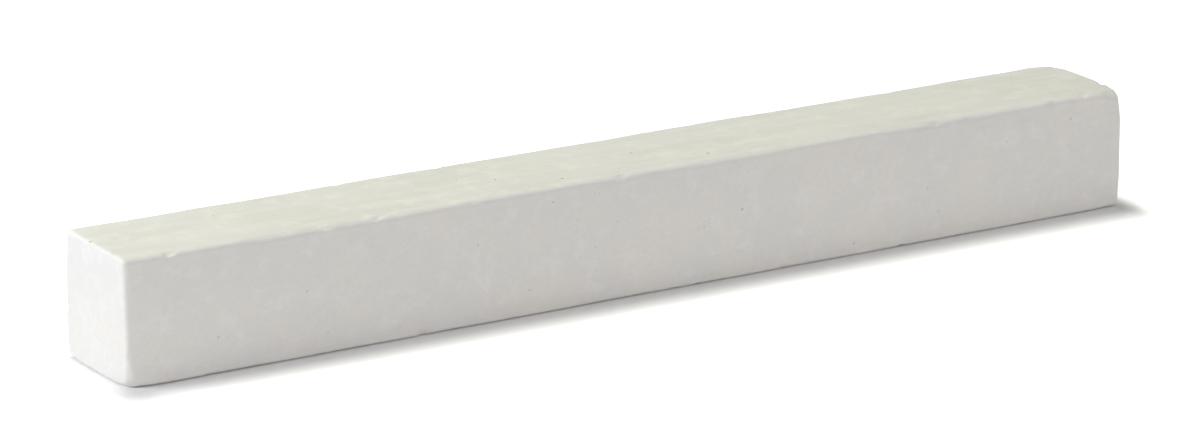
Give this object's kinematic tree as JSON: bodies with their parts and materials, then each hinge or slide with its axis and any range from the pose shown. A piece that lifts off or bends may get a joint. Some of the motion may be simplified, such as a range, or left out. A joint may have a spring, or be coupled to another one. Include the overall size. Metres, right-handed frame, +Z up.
{
  "type": "chalk piece",
  "caption": "Square-section stick of white chalk with softly rounded edges and corners, for writing and marking on boards, cloth, stone or metal.",
  "frame": {"origin": "centre of the long face that the stick lies on, midway between its end faces", "axes": "+X along the stick's length, +Z up out of its top face, +Y towards its back side face"},
  "size_m": [0.09, 0.01, 0.01],
  "materials": {
    "chalk": "matt, dry and powdery white, a little smoother where the mould left its skin"
  },
  "bodies": {
    "root": {"chalk_stick": "chalk"}
  },
  "joints": []
}
